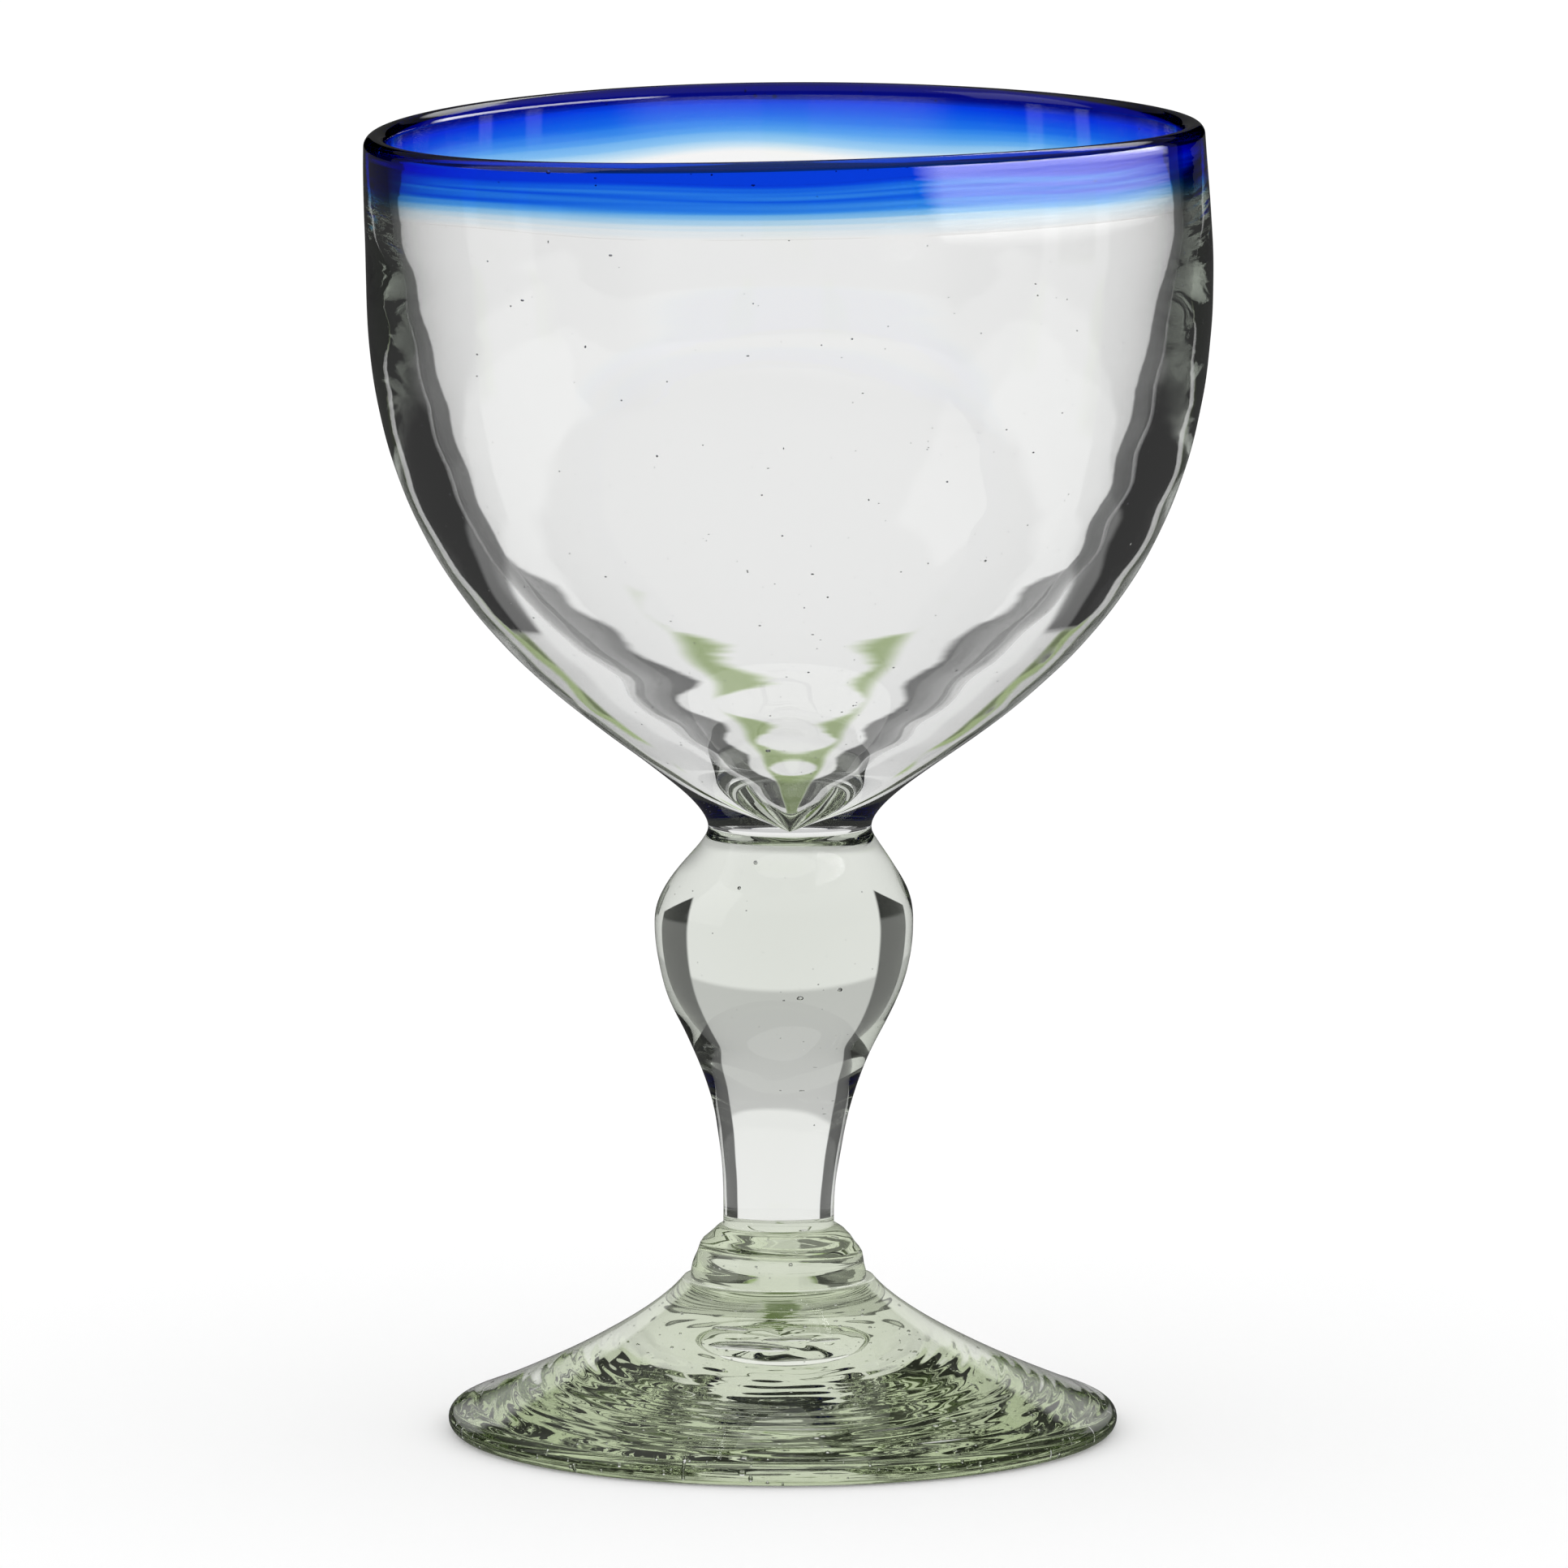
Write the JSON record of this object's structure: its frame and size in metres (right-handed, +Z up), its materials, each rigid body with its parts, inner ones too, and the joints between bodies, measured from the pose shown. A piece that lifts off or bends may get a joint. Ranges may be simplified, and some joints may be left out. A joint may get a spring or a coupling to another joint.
{
  "type": "stemmed goblet",
  "caption": "Thick hand-blown glass goblet with a deep round bowl, a blue lip, a solid baluster stem, a collar and a wide conical foot, for serving drinks.",
  "frame": {"origin": "on the goblet's axis, at the height of the flat ring that the foot stands on", "axes": "+Z up along the goblet's axis, from the foot to the lip; X and Y are level and equal, because the goblet is round"},
  "size_m": [0.1094, 0.1094, 0.17],
  "materials": {
    "clear_glass": "fire-polished clear glass with small bubbles and faint tool ripples",
    "green_glass": "fire-polished pale green glass with small bubbles and concentric ripples",
    "cobalt_glass": "fire-polished deep blue glass that thins out into the clear bowl in streaks"
  },
  "bodies": {
    "root": {"foot": "green_glass", "collar": "green_glass", "stem": "clear_glass", "bowl": "clear_glass", "lip_wrap": "cobalt_glass"}
  },
  "joints": []
}
